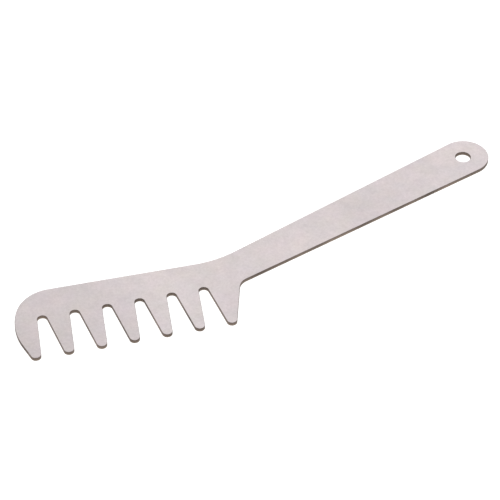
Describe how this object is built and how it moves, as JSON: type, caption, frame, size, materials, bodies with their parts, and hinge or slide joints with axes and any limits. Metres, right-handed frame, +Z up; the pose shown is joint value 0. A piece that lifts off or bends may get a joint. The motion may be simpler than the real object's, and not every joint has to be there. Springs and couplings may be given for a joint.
{
  "type": "curry comb",
  "caption": "Flat one-piece metal curry and mane comb: a tapered tooth row with a rounded nose and an angled flat handle with a hanging hole.",
  "frame": {"origin": "middle of the bounding box in X and Y, on the plate's underside", "axes": "+X along the tooth row from the nose to the handle, +Y from the teeth to the spine, +Z up through the sheet"},
  "size_m": [0.2114, 0.0828, 0.0017],
  "materials": {
    "tumbled_steel": "matt tumbled stainless sheet with darker cut edges"
  },
  "bodies": {
    "root": {"comb_plate": "tumbled_steel"}
  },
  "joints": []
}
